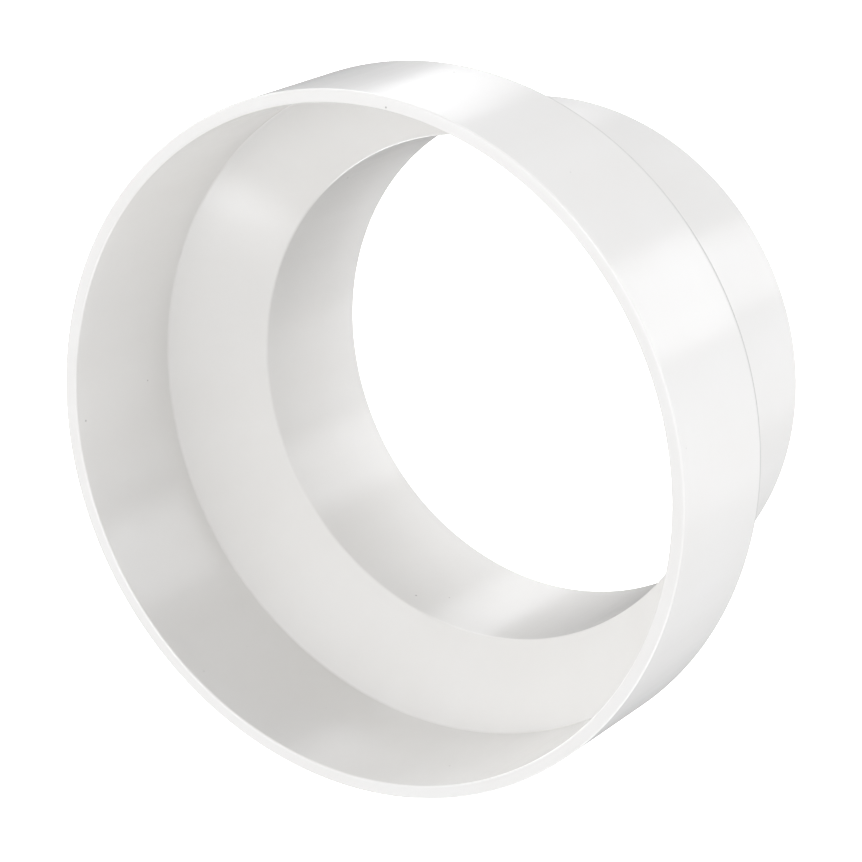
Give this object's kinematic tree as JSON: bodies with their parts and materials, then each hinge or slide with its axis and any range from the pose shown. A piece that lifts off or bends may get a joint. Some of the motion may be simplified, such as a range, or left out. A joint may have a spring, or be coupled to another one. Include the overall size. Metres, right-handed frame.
{
  "type": "duct reducer",
  "caption": "Round one-piece plastic reducer: a wide short socket, a conical step inside and a narrow spigot, joining a larger round duct to a smaller one.",
  "frame": {"origin": "centre of the spigot's open end, on the plane that the end stands on", "axes": "+Z along the common axis of spigot and socket, towards the socket's mouth; +X and +Y lie in the plane of the spigot's end"},
  "size_m": [0.13, 0.13, 0.072],
  "materials": {
    "white_plastic": "satin, moulded"
  },
  "bodies": {
    "root": {"reducer": "white_plastic"}
  },
  "joints": []
}
